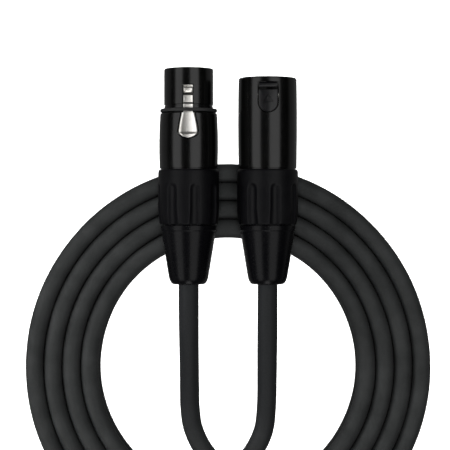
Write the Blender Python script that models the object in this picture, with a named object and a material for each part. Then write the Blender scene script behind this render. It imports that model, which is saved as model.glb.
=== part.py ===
"""A coiled XLR microphone cable: two layers of turns, a female and a male connector lying on the coil.

The origin is under the middle of the whole part, on the surface that it lies on. +Y points to the
connectors' noses and +Z up. Stations along a connector are measured from its seam, where the metal
shell meets the collar, and grow towards the nose. Heights in a connector are measured from its axis.
"""

import math

import bmesh
import bpy
from mathutils import Vector

MM = 0.001

# The cable and its coil
CABLE_DIAMETER = 6.2 * MM
COIL_OUTER_RADIUS = 66.7 * MM
TURNS_ACROSS = 4
TURN_SQUEEZE = 0.15 * MM
LAYERS = 2
TIE_WIDTH = 12.0 * MM
TIE_THICKNESS = 1.0 * MM

# Where the connectors lie
AXIS_SPACING = 25.4 * MM
COIL_CENTRE_TO_BOOT = 27.6 * MM

# Clearances
GAP = 0.3 * MM
WINDOW_GAP = 0.45 * MM
MATING_GAP = 0.18 * MM

# Shells, the same on both connectors
SHELL_BELLY = 9.47 * MM
SHELL_WALL = 1.37 * MM
SHELL_REAR_DROP = 0.14 * MM
SHELL_STEP = 4.0 * MM
SPIGOT_LENGTH = 6.0 * MM
SPIGOT_WALL = 0.7 * MM
RIM_ROUND = 0.6 * MM

# Collar, boot and chuck, the same on both connectors
COLLAR_LENGTH = 17.7 * MM
COLLAR_PROUD = 0.33 * MM
COLLAR_DROP = 1.1 * MM
COLLAR_REAR_WALL = 0.8 * MM
COLLAR_TAPER = 6.0 * MM
FLUTES = 8
FLUTE_RADIUS = 2.4 * MM
FLUTE_DEPTH = 0.5 * MM
FLUTE_START = 5.2 * MM
FLUTE_TURN = math.radians(13.4)
BOOT_LENGTH = 18.85 * MM
BOOT_ROUND = 2.8 * MM
BOOT_SPIGOT = 2.8 * MM
BOOT_LIP = 1.6 * MM
CHUCK_LENGTH = 11.0 * MM
CHUCK_CHAMFER = 0.8 * MM
JACKET_END = -5.0 * MM

# Female connector
FEMALE_SHELL_LENGTH = 17.85 * MM
FEMALE_FRONT_DROP = 0.3 * MM
SEAL_GAP = 0.45 * MM
SEAL_WIDTH = 1.0 * MM
SKIRT_SHOWING = 0.7 * MM
GROOVE_WIDTH = 0.4 * MM
GROOVE_DEPTH = 0.34 * MM
BARREL_LENGTH = 11.7 * MM
BARREL_WALL = 0.92 * MM
FEMALE_INSERT_RECESS = 0.8 * MM
FEMALE_INSERT_LENGTH = 17.3 * MM

# Latch lever, its pin and spring
LATCH_WIDTH = 2.6 * MM
LATCH_THICKNESS = 0.7 * MM
LATCH_REACH = 6.3 * MM
LATCH_SINK = 0.22 * MM
NOSE_RISE = 1.0 * MM
NOSE_LENGTH = 3.1 * MM
TAB_LENGTH = 7.9 * MM
TAB_TO_RIM = 0.35 * MM
TAB_SIDE = 0.35 * MM
TAB_REAR_HALF = 2.95 * MM
TAB_SINK = 0.17 * MM
TAB_FLATNESS = 0.62
TAB_SHOULDER = 2.0 * MM
TAB_SHOULDER_SHARE = 0.93
PIVOT_SETBACK = 1.5 * MM
PIVOT_DROP = 0.9 * MM
PIN_RADIUS = 0.6 * MM
PIN_HALF_LENGTH = 4.2 * MM
PIN_SIDE_ROOM = 0.8 * MM
HUB_RADIUS = 1.4 * MM
CHANNEL_DEPTH = 2.1 * MM
SPRING_SETBACK = 2.0 * MM
SPRING_LENGTH = 6.0 * MM
SPRING_LEAF = 0.25 * MM

# Male connector
MALE_LENGTH = 29.1 * MM
MALE_FRONT_DROP = 0.12 * MM
MALE_SOCKET_DEPTH = 19.0 * MM
MALE_PIN_REACH = 14.0 * MM
MALE_PIN_RADIUS = 1.2 * MM
WINDOW_HALF = 3.25 * MM
WINDOW_LENGTH = 9.9 * MM
WINDOW_AHEAD = 0.55 * MM
BAR_RADIUS = 0.9 * MM
BAR_RISE = 0.35 * MM
BAR_TO_TONGUE = 0.65 * MM
TONGUE_RECESS = 0.02 * MM

# Contacts and cores
CONTACT_CIRCLE = 4.0 * MM
CONTACT_ANGLES = (math.radians(10), math.radians(170), math.radians(270))
SOCKET_RADIUS = 1.9 * MM
SOCKET_BORE = 1.25 * MM
SOCKET_DEPTH = 15.0 * MM
SOLDER_CUP_LENGTH = 5.5 * MM
SOLDER_CUP_RADIUS = 1.2 * MM
MALE_CUP_REAR = 1.5 * MM
CORE_RADIUS = 0.8 * MM
CORE_CLUSTER = 1.5 * MM

ROUND = 36
SMALL_ROUND = 12
COIL_ROUND = 72

# Cable and coil, worked out from the sizes above
TURN_PITCH = CABLE_DIAMETER - TURN_SQUEEZE
COIL_WIDTH = (TURNS_ACROSS - 1) * TURN_PITCH + CABLE_DIAMETER
COIL_INNER_RADIUS = COIL_OUTER_RADIUS - COIL_WIDTH
COIL_HEIGHT = LAYERS * CABLE_DIAMETER
CABLE_BORE = CABLE_DIAMETER / 2 + GAP

# Radii and stations in both connectors
SHELL_BORE = SHELL_BELLY - SHELL_WALL
SHELL_REAR = SHELL_BELLY - SHELL_REAR_DROP
COLLAR_RADIUS = SHELL_BELLY + COLLAR_PROUD
COLLAR_REAR_RADIUS = COLLAR_RADIUS - COLLAR_DROP
COLLAR_BORE = COLLAR_REAR_RADIUS - COLLAR_REAR_WALL
SPIGOT_RADIUS = COLLAR_BORE - GAP
SPIGOT_BORE = SPIGOT_RADIUS - SPIGOT_WALL
CHUCK_RADIUS = SPIGOT_BORE - GAP
BOOT_REAR_RADIUS = CABLE_BORE + BOOT_ROUND
COLLAR_REAR = -GAP - COLLAR_LENGTH
BOOT_FRONT = COLLAR_REAR - GAP
BOOT_REAR = BOOT_FRONT - BOOT_LENGTH
CHUCK_REAR = COLLAR_REAR + BOOT_SPIGOT + GAP

# Radii and stations in the female connector
FEMALE_SHELL_FRONT = SHELL_BELLY - FEMALE_FRONT_DROP
BARREL_RADIUS = SHELL_BORE - MATING_GAP
BARREL_BORE = BARREL_RADIUS - BARREL_WALL
SEAL_STATION = FEMALE_SHELL_LENGTH + SEAL_GAP
SEAL_FRONT = SEAL_STATION + SEAL_WIDTH
BARREL_STATION = SEAL_FRONT + SKIRT_SHOWING + GROOVE_WIDTH
FEMALE_LENGTH = BARREL_STATION + BARREL_LENGTH
FEMALE_INSERT_FRONT = FEMALE_LENGTH - FEMALE_INSERT_RECESS
FEMALE_INSERT_REAR = FEMALE_INSERT_FRONT - FEMALE_INSERT_LENGTH
FEMALE_CUP_REAR = FEMALE_INSERT_REAR - SOLDER_CUP_LENGTH

# Heights and stations of the latch
LATCH_TOP = BARREL_RADIUS - LATCH_SINK
LATCH_UNDERSIDE = LATCH_TOP - LATCH_THICKNESS
LATCH_SLOT_END = BARREL_STATION + LATCH_REACH
LATCH_FRONT = LATCH_SLOT_END - GAP
CHANNEL_FLOOR = LATCH_UNDERSIDE - CHANNEL_DEPTH
TAB_FRONT = FEMALE_SHELL_LENGTH - TAB_TO_RIM
TAB_REAR = TAB_FRONT - TAB_LENGTH
TAB_FRONT_HALF = LATCH_WIDTH / 2 + TAB_SIDE
PIVOT_STATION = TAB_REAR + PIVOT_SETBACK
PIVOT_HEIGHT = LATCH_UNDERSIDE - PIVOT_DROP

# Stations in the male connector: the catch bar sits just ahead of the mated latch nose's rear slope
MALE_FRONT = SHELL_BELLY - MALE_FRONT_DROP
MALE_INSERT_FRONT = MALE_LENGTH - MALE_SOCKET_DEPTH
MALE_PIN_TIP = MALE_INSERT_FRONT + MALE_PIN_REACH
NOSE_REAR_WHEN_MATED = MALE_LENGTH - (LATCH_FRONT - NOSE_LENGTH - SEAL_FRONT)
BAR_STATION = NOSE_REAR_WHEN_MATED + WINDOW_GAP + BAR_RADIUS
BAR_HEIGHT = SHELL_BORE + BAR_RISE
TONGUE_FRONT = BAR_STATION - BAR_RADIUS - BAR_TO_TONGUE
WINDOW_FRONT = BAR_STATION + BAR_RADIUS + WINDOW_AHEAD
WINDOW_REAR = WINDOW_FRONT - WINDOW_LENGTH

# How far cutters reach: past the outside of a shell, and inwards past its wall
CUT_TOP = SHELL_BELLY + 2.5 * MM
WALL_CUT_BOTTOM = SHELL_BORE - 3.1 * MM
SLOT_CUT_BOTTOM = CHANNEL_FLOOR - 1.9 * MM

# The places of the coil and the connectors
AXIS_Z = COIL_HEIGHT + GAP + COLLAR_RADIUS
NOSE_REACH = COIL_CENTRE_TO_BOOT - BOOT_REAR + FEMALE_LENGTH
FOOT_REACH = COIL_OUTER_RADIUS + GAP + TIE_THICKNESS
COIL_Y = (FOOT_REACH - NOSE_REACH) / 2
SEAM_Y = COIL_Y + COIL_CENTRE_TO_BOOT - BOOT_REAR
FEMALE_X = -AXIS_SPACING / 2
MALE_X = AXIS_SPACING / 2

# The routes of the two ends of the cable, from inside each connector to the side of the coil, in
# millimetres from the coil's centre on the surface.
FEMALE_ROUTE = [
    (-12.7, 59.75, 22.5), (-12.7, 50.0, 22.5), (-12.7, 40.0, 22.5), (-12.7, 30.0, 22.5),
    (-12.7, 24.0, 22.4), (-12.7, 16.0, 20.7), (-12.7, 8.0, 16.9), (-12.7, 0.0, 12.1),
    (-12.7, -7.5, 7.8), (-12.6, -14.0, 4.9), (-11.6, -21.0, 3.4), (-8.3, -28.0, 3.1),
    (-3.2, -33.6, 3.1), (3.0, -37.2, 3.1),
]
MALE_ROUTE = [
    (12.7, 59.75, 22.5), (12.7, 50.0, 22.5), (12.7, 40.0, 22.5), (12.7, 30.0, 22.5),
    (12.7, 24.0, 22.4), (12.7, 15.0, 21.2), (12.7, 6.0, 18.6), (12.7, -3.0, 15.6),
    (12.6, -12.0, 12.8), (11.7, -20.6, 10.7), (8.3, -28.0, 9.8),
    (3.2, -33.6, 9.7), (-3.0, -37.2, 9.6),
]


def clear_scene():
    for old in list(bpy.data.objects):
        bpy.data.objects.remove(old)


def finish_material(name, colour, roughness, metallic):
    material = bpy.data.materials.get(name)
    if material is None:
        material = bpy.data.materials.new(name)
        material.use_nodes = True
        shader = material.node_tree.nodes["Principled BSDF"]
        shader.inputs["Base Color"].default_value = (*colour, 1)
        shader.inputs["Roughness"].default_value = roughness
        shader.inputs["Metallic"].default_value = metallic
    return material


def black_chrome():
    return finish_material("black_chrome", (0.018, 0.018, 0.019), 0.28, 0.8)


def black_nylon():
    return finish_material("black_nylon", (0.012, 0.012, 0.013), 0.5, 0.0)


def soft_grip():
    return finish_material("soft_grip", (0.016, 0.016, 0.017), 0.7, 0.0)


def boot_plastic():
    return finish_material("boot_plastic", (0.010, 0.010, 0.011), 0.35, 0.0)


def bright_nickel():
    return finish_material("bright_nickel", (0.75, 0.74, 0.70), 0.25, 1.0)


def contact_silver():
    return finish_material("contact_silver", (0.80, 0.79, 0.76), 0.2, 1.0)


def cable_jacket():
    return finish_material("cable_jacket", (0.035, 0.037, 0.036), 0.6, 0.0)


def chuck_plastic():
    return finish_material("chuck_plastic", (0.62, 0.62, 0.60), 0.5, 0.0)


def tie_fabric():
    return finish_material("tie_fabric", (0.010, 0.010, 0.010), 0.9, 0.0)


def add_object(name, mesh_builder, material=None):
    """Adds a mesh object from a bmesh, with its faces turned outwards."""
    bmesh.ops.remove_doubles(mesh_builder, verts=mesh_builder.verts, dist=1e-7)
    bmesh.ops.recalc_face_normals(mesh_builder, faces=mesh_builder.faces)
    mesh = bpy.data.meshes.new(name)
    mesh_builder.to_mesh(mesh)
    mesh_builder.free()
    part = bpy.data.objects.new(name, mesh)
    bpy.context.scene.collection.objects.link(part)
    if material is not None:
        mesh.materials.append(material)
        mesh.shade_smooth()
        mesh.set_sharp_from_angle(angle=math.radians(30))
    return part


def cut(part, cutter, operation="DIFFERENCE"):
    cutter.hide_render = True
    cutter.display_type = "WIRE"
    boolean = part.modifiers.new(cutter.name, "BOOLEAN")
    boolean.operation = operation
    boolean.solver = "EXACT"
    boolean.object = cutter


def on_axis(corner):
    return math.hypot(corner.co.x, corner.co.z) < 1e-9


def turned(name, outline, material=None, steps=ROUND):
    """Spins a closed outline of (station, radius) points about the Y axis, at the world's origin."""
    shape = bmesh.new()
    corners = [shape.verts.new((0, y, r)) for y, r in outline]
    edges = [shape.edges.new((a, b)) for a, b in zip(corners, corners[1:] + corners[:1])
             if (a.co - b.co).length > 1e-9 and (on_axis(a) and on_axis(b)) is False]
    bmesh.ops.spin(shape, geom=corners + edges, axis=(0, 1, 0), cent=(0, 0, 0),
                   angle=math.tau, steps=steps, use_merge=True)
    return add_object(name, shape, material)


def prism(name, outline, low, high, axis="Z", material=None):
    """Extrudes a closed outline from low to high along an axis: (x, y) points along Z, (y, z) along X."""
    shape = bmesh.new()
    if axis == "Z":
        corners = [shape.verts.new((a, b, low)) for a, b in outline]
        along = Vector((0, 0, high - low))
    else:
        corners = [shape.verts.new((low, a, b)) for a, b in outline]
        along = Vector((high - low, 0, 0))
    face = shape.faces.new(corners)
    grown = bmesh.ops.extrude_face_region(shape, geom=[face])
    moved = [g for g in grown["geom"] if isinstance(g, bmesh.types.BMVert)]
    bmesh.ops.translate(shape, verts=moved, vec=along)
    return add_object(name, shape, material)


def box(name, low, high):
    outline = [(low[0], low[1]), (high[0], low[1]), (high[0], high[1]), (low[0], high[1])]
    return prism(name, outline, low[2], high[2])


def cross_bar(name, radius, half_length, station, height, material=None):
    """A round bar along X at a station and a height above the connector's axis."""
    shape = bmesh.new()
    made = bmesh.ops.create_cone(shape, cap_ends=True, segments=16, radius1=radius,
                                 radius2=radius, depth=2 * half_length)
    bmesh.ops.rotate(shape, verts=made["verts"], cent=(0, 0, 0),
                     matrix=Vector((0, 0, 1)).rotation_difference(Vector((1, 0, 0))).to_matrix())
    bmesh.ops.translate(shape, verts=made["verts"], vec=(0, station, height))
    return add_object(name, shape, material)


def arc(centre, radius, start, stop, steps):
    """Points on an arc, angles in degrees."""
    angles = [math.radians(start + (stop - start) * i / steps) for i in range(steps + 1)]
    return [(centre[0] + radius * math.cos(a), centre[1] + radius * math.sin(a)) for a in angles]


def place(parts, x):
    """Moves a connector's parts and their cutters from the world's origin to its axis and seam."""
    for part in parts:
        part.location = Vector(part.location) + Vector((x, SEAM_Y, AXIS_Z))


# The cable


def tube(name, points, radius, material, sides):
    """A round cord along a list of points, with flat ends."""
    curve = bpy.data.curves.new(name, "CURVE")
    curve.dimensions = "3D"
    curve.bevel_depth = radius
    curve.bevel_resolution = sides
    curve.use_fill_caps = True
    spline = curve.splines.new("POLY")
    spline.points.add(len(points) - 1)
    for point, place_at in zip(spline.points, points):
        point.co = (*place_at, 1)
    spline.use_smooth = True
    part = bpy.data.objects.new(name, curve)
    bpy.context.scene.collection.objects.link(part)
    curve.materials.append(material)
    return part


def smooth_route(route, spacing):
    """Points about spacing apart on the Catmull-Rom curve through a route."""
    ends = [route[0] * 2 - route[1], *route, route[-1] * 2 - route[-2]]
    fine = []
    for a, b, c, d in zip(ends, ends[1:], ends[2:], ends[3:]):
        for step in range(20):
            t = step / 20
            fine.append(0.5 * ((2 * b) + (c - a) * t + (2 * a - 5 * b + 4 * c - d) * t * t
                               + (3 * b - a - 3 * c + d) * t ** 3))
    fine.append(route[-1])
    along = [0.0]
    for a, b in zip(fine, fine[1:]):
        along.append(along[-1] + (b - a).length)
    count = max(2, round(along[-1] / spacing))
    wanted = [along[-1] * i / count for i in range(count + 1)]
    return [fine[min(range(len(fine)), key=lambda i: abs(along[i] - w))] for w in wanted]


def cable_end(name, route):
    centre = Vector((0, COIL_Y, 0))
    points = smooth_route([Vector(p) * MM + centre for p in route], 2 * CABLE_DIAMETER)
    return tube(name, points, CABLE_DIAMETER / 2, cable_jacket(), 3)


def cable_coil():
    """The outer shape of the coil, a turned ring, with the passage of the tie under it."""
    r = CABLE_DIAMETER / 2
    low, high = COIL_INNER_RADIUS + r, COIL_OUTER_RADIUS - r
    outline = (arc((high, r), r, -90, 0, 3) + arc((high, COIL_HEIGHT - r), r, 0, 90, 3)
               + arc((low, COIL_HEIGHT - r), r, 90, 180, 3) + arc((low, r), r, 180, 270, 3))
    shape = bmesh.new()
    corners = [shape.verts.new((a, 0, z)) for a, z in outline]
    edges = [shape.edges.new((a, b)) for a, b in zip(corners, corners[1:] + corners[:1])]
    bmesh.ops.spin(shape, geom=corners + edges, axis=(0, 0, 1), cent=(0, 0, 0),
                   angle=math.tau, steps=COIL_ROUND, use_merge=True)
    bmesh.ops.translate(shape, verts=shape.verts, vec=(0, COIL_Y, 0))
    coil = add_object("cable_coil", shape, cable_jacket())
    half = TIE_WIDTH / 2 + GAP
    cut(coil, box("tie_passage", (-half, COIL_Y - COIL_OUTER_RADIUS - MM, -MM),
                  (half, COIL_Y - COIL_INNER_RADIUS + MM, TIE_THICKNESS + GAP)))


def cable_tie():
    """A closed strap round the coil's lowest turns, in the YZ plane."""
    half = TIE_WIDTH / 2
    inner_flat = COIL_INNER_RADIUS * math.cos(math.pi / COIL_ROUND)
    far = COIL_Y - COIL_OUTER_RADIUS - GAP
    near = COIL_Y - math.sqrt(inner_flat ** 2 - half ** 2) + GAP
    top = COIL_HEIGHT + GAP
    t = TIE_THICKNESS
    outline = [(far - t, 0), (near + t, 0), (near + t, top + t), (far - t, top + t)]
    tie = prism("cable_tie", outline, -half, half, "X", tie_fabric())
    hole = [(far, t), (near, t), (near, top), (far, top)]
    cut(tie, prism("tie_hole", hole, -half - MM, half + MM, "X"))


# Collar, boot and chuck


def flute_cutter(name):
    """Eight round-ended rods beside the collar, which widen where it tapers."""
    centre = COLLAR_RADIUS - FLUTE_DEPTH + FLUTE_RADIUS
    wide = centre - COLLAR_REAR_RADIUS + FLUTE_DEPTH
    start = -GAP - FLUTE_START - FLUTE_RADIUS
    taper = COLLAR_REAR + COLLAR_TAPER
    outline = arc((start, 0), FLUTE_RADIUS, 0, 90, 4)
    outline += [(taper, FLUTE_RADIUS), (COLLAR_REAR, wide), (COLLAR_REAR - MM, wide), (COLLAR_REAR - MM, 0)]
    shape = bmesh.new()
    for i in range(FLUTES):
        angle = FLUTE_TURN + math.tau * i / FLUTES
        offset = Vector((math.sin(angle), 0, math.cos(angle))) * centre
        rod = bmesh.new()
        corners = [rod.verts.new((0, y, r)) for y, r in outline]
        edges = [rod.edges.new((a, b)) for a, b in zip(corners, corners[1:])]
        bmesh.ops.spin(rod, geom=corners + edges, axis=(0, 1, 0), cent=(0, 0, 0),
                       angle=math.tau, steps=16, use_merge=True)
        bmesh.ops.remove_doubles(rod, verts=rod.verts, dist=1e-7)
        bmesh.ops.translate(rod, verts=rod.verts, vec=offset)
        mesh = bpy.data.meshes.new("rod")
        rod.to_mesh(mesh)
        rod.free()
        shape.from_mesh(mesh)
        bpy.data.meshes.remove(mesh)
    return add_object(name, shape)


def collar(side):
    """The screwed-on collar: a rounded front edge, a straight grip with flutes and a tapered rear."""
    outline = [
        (-GAP, COLLAR_BORE), (-GAP, COLLAR_RADIUS - 0.5 * MM), (-GAP - 0.5 * MM, COLLAR_RADIUS - 0.12 * MM),
        (-GAP - 1.2 * MM, COLLAR_RADIUS), (COLLAR_REAR + COLLAR_TAPER, COLLAR_RADIUS),
        (COLLAR_REAR + COLLAR_TAPER / 2, COLLAR_RADIUS * 0.55 + COLLAR_REAR_RADIUS * 0.45),
        (COLLAR_REAR, COLLAR_REAR_RADIUS), (COLLAR_REAR, COLLAR_BORE),
    ]
    part = turned(side + "_collar", outline, soft_grip(), ROUND + 12)
    flutes = flute_cutter(side + "_flutes")
    cut(part, flutes)
    return [part, flutes]


def boot(side):
    """The tapered strain relief: a lip under the collar, a cone, a rounded rear end and a front spigot."""
    front_radius = COLLAR_REAR_RADIUS
    end = BOOT_REAR + BOOT_ROUND
    rounding = arc((end, BOOT_REAR_RADIUS - BOOT_ROUND), BOOT_ROUND, 90, 180, 4)
    outline = [
        (BOOT_FRONT + BOOT_SPIGOT, CABLE_BORE), (BOOT_FRONT + BOOT_SPIGOT, SPIGOT_RADIUS),
        (BOOT_FRONT, SPIGOT_RADIUS), (BOOT_FRONT, front_radius - 0.1 * MM),
        (BOOT_FRONT - BOOT_LIP, front_radius - 0.2 * MM),
        *rounding, (BOOT_REAR, CABLE_BORE),
    ]
    return [turned(side + "_boot", outline, boot_plastic())]


def chuck(side):
    """The clamp that grips the jacket when the collar is screwed on."""
    rear, front = CHUCK_REAR, CHUCK_REAR + CHUCK_LENGTH
    outline = [(front, CABLE_BORE), (front, CHUCK_RADIUS), (rear + CHUCK_CHAMFER, CHUCK_RADIUS),
               (rear, CHUCK_RADIUS - CHUCK_CHAMFER), (rear, CABLE_BORE)]
    return [turned(side + "_chuck", outline, chuck_plastic(), 24)]


def rear_group(side):
    return collar(side) + boot(side) + chuck(side)


def shell_outline(front, front_radius):
    """A shell's closed outline: rounded nose rim, slightly full belly, rear step and threaded spigot."""
    return [
        (front, SHELL_BORE), (front, front_radius - RIM_ROUND),
        (front - 0.3 * RIM_ROUND, front_radius - 0.3 * RIM_ROUND),
        (front - RIM_ROUND, front_radius), (front * 0.65, (front_radius + SHELL_BELLY) / 2),
        (front * 0.4, SHELL_BELLY), (0.3 * MM, SHELL_REAR), (0, SHELL_REAR - 0.2 * MM),
        (0, SPIGOT_RADIUS), (-SPIGOT_LENGTH, SPIGOT_RADIUS), (-SPIGOT_LENGTH, SPIGOT_BORE),
        (SHELL_STEP, SPIGOT_BORE), (SHELL_STEP, SHELL_BORE),
    ]


def contact_places():
    return [(CONTACT_CIRCLE * math.cos(a), CONTACT_CIRCLE * math.sin(a)) for a in CONTACT_ANGLES]


def rods(name, radius, low, high):
    """Round cutters through a contact carrier, one for each contact."""
    shape = bmesh.new()
    for x, z in contact_places():
        made = bmesh.ops.create_cone(shape, cap_ends=True, segments=SMALL_ROUND, radius1=radius,
                                     radius2=radius, depth=high - low)
        bmesh.ops.rotate(shape, verts=made["verts"], cent=(0, 0, 0),
                         matrix=Vector((0, 0, 1)).rotation_difference(Vector((0, 1, 0))).to_matrix())
        bmesh.ops.translate(shape, verts=made["verts"], vec=(x, (low + high) / 2, z))
    return add_object(name, shape)


def cores(side, contact_rear):
    """The three insulated conductors, from the stripped jacket to the contacts' solder cups."""
    start, stop = JACKET_END + GAP, contact_rear - GAP
    made = []
    for number, (x, z) in enumerate(contact_places(), 1):
        narrow = CORE_CLUSTER / CONTACT_CIRCLE
        along = [(start, narrow), (start * 0.7 + stop * 0.3, narrow), (start * 0.3 + stop * 0.7, 1), (stop, 1)]
        points = [Vector((x * share, y, z * share)) for y, share in along]
        made.append(tube(f"{side}_core_{number}", points, CORE_RADIUS, cable_jacket(), 2))
    return made


# Female connector


def female_shell():
    """The rear shell, with the window that the latch's push tab sits in."""
    part = turned("female_shell", shell_outline(FEMALE_SHELL_LENGTH, FEMALE_SHELL_FRONT), black_chrome())
    window = prism("tab_window", tab_outline(WINDOW_GAP, FEMALE_SHELL_LENGTH + MM),
                   WALL_CUT_BOTTOM, CUT_TOP)
    cut(part, window)
    return [part, window]


def tab_outline(grow, front):
    """The teardrop of the release tab, narrow under the seal ring and round at its free end."""
    half = TAB_REAR_HALF + grow
    centre = TAB_REAR - grow + half * TAB_FLATNESS
    tail = [(x, centre + (y - centre) * TAB_FLATNESS) for x, y in arc((0, centre), half, 180, 360, 10)]
    narrow = TAB_FRONT_HALF + grow
    shoulder = (half * TAB_SHOULDER_SHARE, centre + TAB_SHOULDER)
    return [*tail, shoulder, (narrow, front), (-narrow, front), (-shoulder[0], shoulder[1])]


def female_barrel():
    """The front sleeve: the nose that enters the socket, a groove and a skirt held in the shell."""
    groove_radius = BARREL_RADIUS - GROOVE_DEPTH
    groove_rear = BARREL_STATION - GROOVE_WIDTH
    skirt = SHELL_BORE - GAP
    outline = [
        (FEMALE_LENGTH, BARREL_BORE), (FEMALE_LENGTH, BARREL_RADIUS - RIM_ROUND),
        (FEMALE_LENGTH - 0.3 * RIM_ROUND, BARREL_RADIUS - 0.3 * RIM_ROUND),
        (FEMALE_LENGTH - RIM_ROUND, BARREL_RADIUS), (BARREL_STATION, BARREL_RADIUS),
        (BARREL_STATION, groove_radius), (groove_rear, groove_radius), (groove_rear, skirt),
        (SHELL_STEP + GAP, skirt), (SHELL_STEP + GAP, BARREL_BORE),
    ]
    part = turned("female_barrel", outline, black_chrome())
    half = LATCH_WIDTH / 2 + GAP
    slot = box("latch_slot", (-half, SHELL_STEP, SLOT_CUT_BOTTOM), (half, LATCH_SLOT_END, CUT_TOP))
    wide = PIN_HALF_LENGTH + PIN_SIDE_ROOM
    relief = box("tab_relief", (-wide, 0, SLOT_CUT_BOTTOM), (wide, SEAL_STATION - GAP, CUT_TOP))
    cut(part, slot)
    cut(part, relief)
    return [part, slot, relief]


def female_seal_ring():
    """The rubber ring that the socket's rim presses on, round the barrel's skirt."""
    rear, front, radius = SEAL_STATION, SEAL_FRONT, FEMALE_SHELL_FRONT
    edge = SEAL_WIDTH / 4
    outline = [(rear, SHELL_BORE), (rear, radius - edge), (rear + edge, radius),
               (front - edge, radius), (front, radius - 2 * edge), (front, SHELL_BORE)]
    return [turned("female_seal_ring", outline, black_nylon())]


def female_insert():
    """The moulded carrier of the three sockets, with the channel that the latch sinks into."""
    radius = BARREL_BORE - GAP
    front = FEMALE_INSERT_FRONT
    outline = [(FEMALE_INSERT_REAR, 0), (FEMALE_INSERT_REAR, radius), (front - 0.3 * MM, radius),
               (front, radius - 0.3 * MM), (front, 0)]
    part = turned("female_insert", outline, black_nylon(), 32)
    bores = rods("socket_bores", SOCKET_RADIUS + GAP, FEMALE_INSERT_REAR - MM, front + MM)
    half = LATCH_WIDTH / 2 + 2 * GAP
    channel = box("latch_channel", (-half, FEMALE_INSERT_REAR - MM, CHANNEL_FLOOR),
                  (half, LATCH_SLOT_END + MM, CUT_TOP))
    cut(part, bores)
    cut(part, channel)
    return [part, bores, channel]


def female_contacts():
    """Three sprung sockets with solder cups."""
    made = []
    front = FEMALE_INSERT_FRONT - 0.2 * MM
    floor = front - SOCKET_DEPTH
    for number, (x, z) in enumerate(contact_places(), 1):
        outline = [(FEMALE_CUP_REAR, 0), (FEMALE_CUP_REAR, SOLDER_CUP_RADIUS),
                   (FEMALE_INSERT_REAR - MM, SOLDER_CUP_RADIUS), (FEMALE_INSERT_REAR, SOCKET_RADIUS),
                   (front, SOCKET_RADIUS), (front, SOCKET_BORE + 0.2 * MM), (front - 0.4 * MM, SOCKET_BORE),
                   (floor, SOCKET_BORE), (floor - MM, 0)]
        part = turned(f"female_contact_{number}", outline, contact_silver(), SMALL_ROUND)
        part.location = (x, 0, z)
        made.append(part)
    return made


def latch_lever():
    """The nose, strip, push tab and hub in one piece, turning about the pin."""
    half = LATCH_WIDTH / 2
    front, rear = LATCH_FRONT, PIVOT_STATION - MM
    crest = LATCH_TOP + NOSE_RISE
    side = [
        (rear, LATCH_UNDERSIDE), (front, LATCH_UNDERSIDE), (front, LATCH_TOP - 0.1 * MM),
        (front - 0.16 * NOSE_LENGTH, LATCH_TOP), (front - 0.32 * NOSE_LENGTH, crest - 0.3 * NOSE_RISE),
        (front - 0.52 * NOSE_LENGTH, crest), (front - 0.77 * NOSE_LENGTH, crest - 0.1 * NOSE_RISE),
        (front - NOSE_LENGTH, LATCH_TOP), (rear, LATCH_TOP),
    ]
    lever = prism("latch_lever", side, -half, half, "X", bright_nickel())
    tab = prism("push_tab", tab_outline(0, TAB_FRONT), LATCH_UNDERSIDE, CUT_TOP)
    tab_radius = SHELL_BELLY - TAB_SINK
    dome = turned("tab_dome", [(0, 0), (0, tab_radius), (FEMALE_LENGTH, tab_radius), (FEMALE_LENGTH, 0)])
    hub = cross_bar("lever_hub", HUB_RADIUS, half, PIVOT_STATION, PIVOT_HEIGHT)
    bore = cross_bar("lever_bore", PIN_RADIUS + GAP, half + MM, PIVOT_STATION, PIVOT_HEIGHT)
    cut(tab, dome, "INTERSECT")
    cut(lever, tab, "UNION")
    cut(lever, hub, "UNION")
    cut(lever, bore)
    return [lever, tab, dome, hub, bore]


def latch_pin():
    return [cross_bar("latch_pin", PIN_RADIUS, PIN_HALF_LENGTH, PIVOT_STATION, PIVOT_HEIGHT,
                      bright_nickel())]


def latch_spring():
    """A bowed leaf between the channel's floor and the lever's underside."""
    low, high = CHANNEL_FLOOR + GAP, LATCH_UNDERSIDE - GAP
    rear = FEMALE_INSERT_REAR + SPRING_SETBACK
    crest, front = rear + SPRING_LENGTH / 2, rear + SPRING_LENGTH
    leaf = SPRING_LEAF
    side = [(rear, low), (rear + leaf, low), (crest, high - leaf), (front - leaf, low),
            (front, low), (front, low + leaf), (crest + leaf, high), (crest - leaf, high), (rear, low + leaf)]
    half = LATCH_WIDTH / 2 - GAP
    return [prism("latch_spring", side, -half, half, "X", bright_nickel())]


# Male connector


def window_outline(shrink, front):
    """A window with square front corners and a round rear end."""
    half = WINDOW_HALF - shrink
    centre = WINDOW_REAR + WINDOW_HALF
    return [*arc((0, centre), half, 180, 360, 10), (half, front), (-half, front)]


def male_shell():
    """The socket shell, with the window that the catch bar spans."""
    part = turned("male_shell", shell_outline(MALE_LENGTH, MALE_FRONT), black_chrome())
    window = prism("catch_window", window_outline(0, WINDOW_FRONT), WALL_CUT_BOTTOM, CUT_TOP)
    cut(part, window)
    return [part, window]


def male_window_tongue():
    """The flush tongue that closes the rear of the window, curved as the shell is."""
    inner, outer = SHELL_BORE + 0.1 * MM, SHELL_BELLY - TONGUE_RECESS
    tongue = prism("male_window_tongue", window_outline(GAP, TONGUE_FRONT), WALL_CUT_BOTTOM, CUT_TOP,
                   "Z", black_nylon())
    wall = turned("tongue_wall", [(0, inner), (0, outer), (MALE_LENGTH, outer), (MALE_LENGTH, inner)])
    cut(tongue, wall, "INTERSECT")
    return [tongue, wall]


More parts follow.
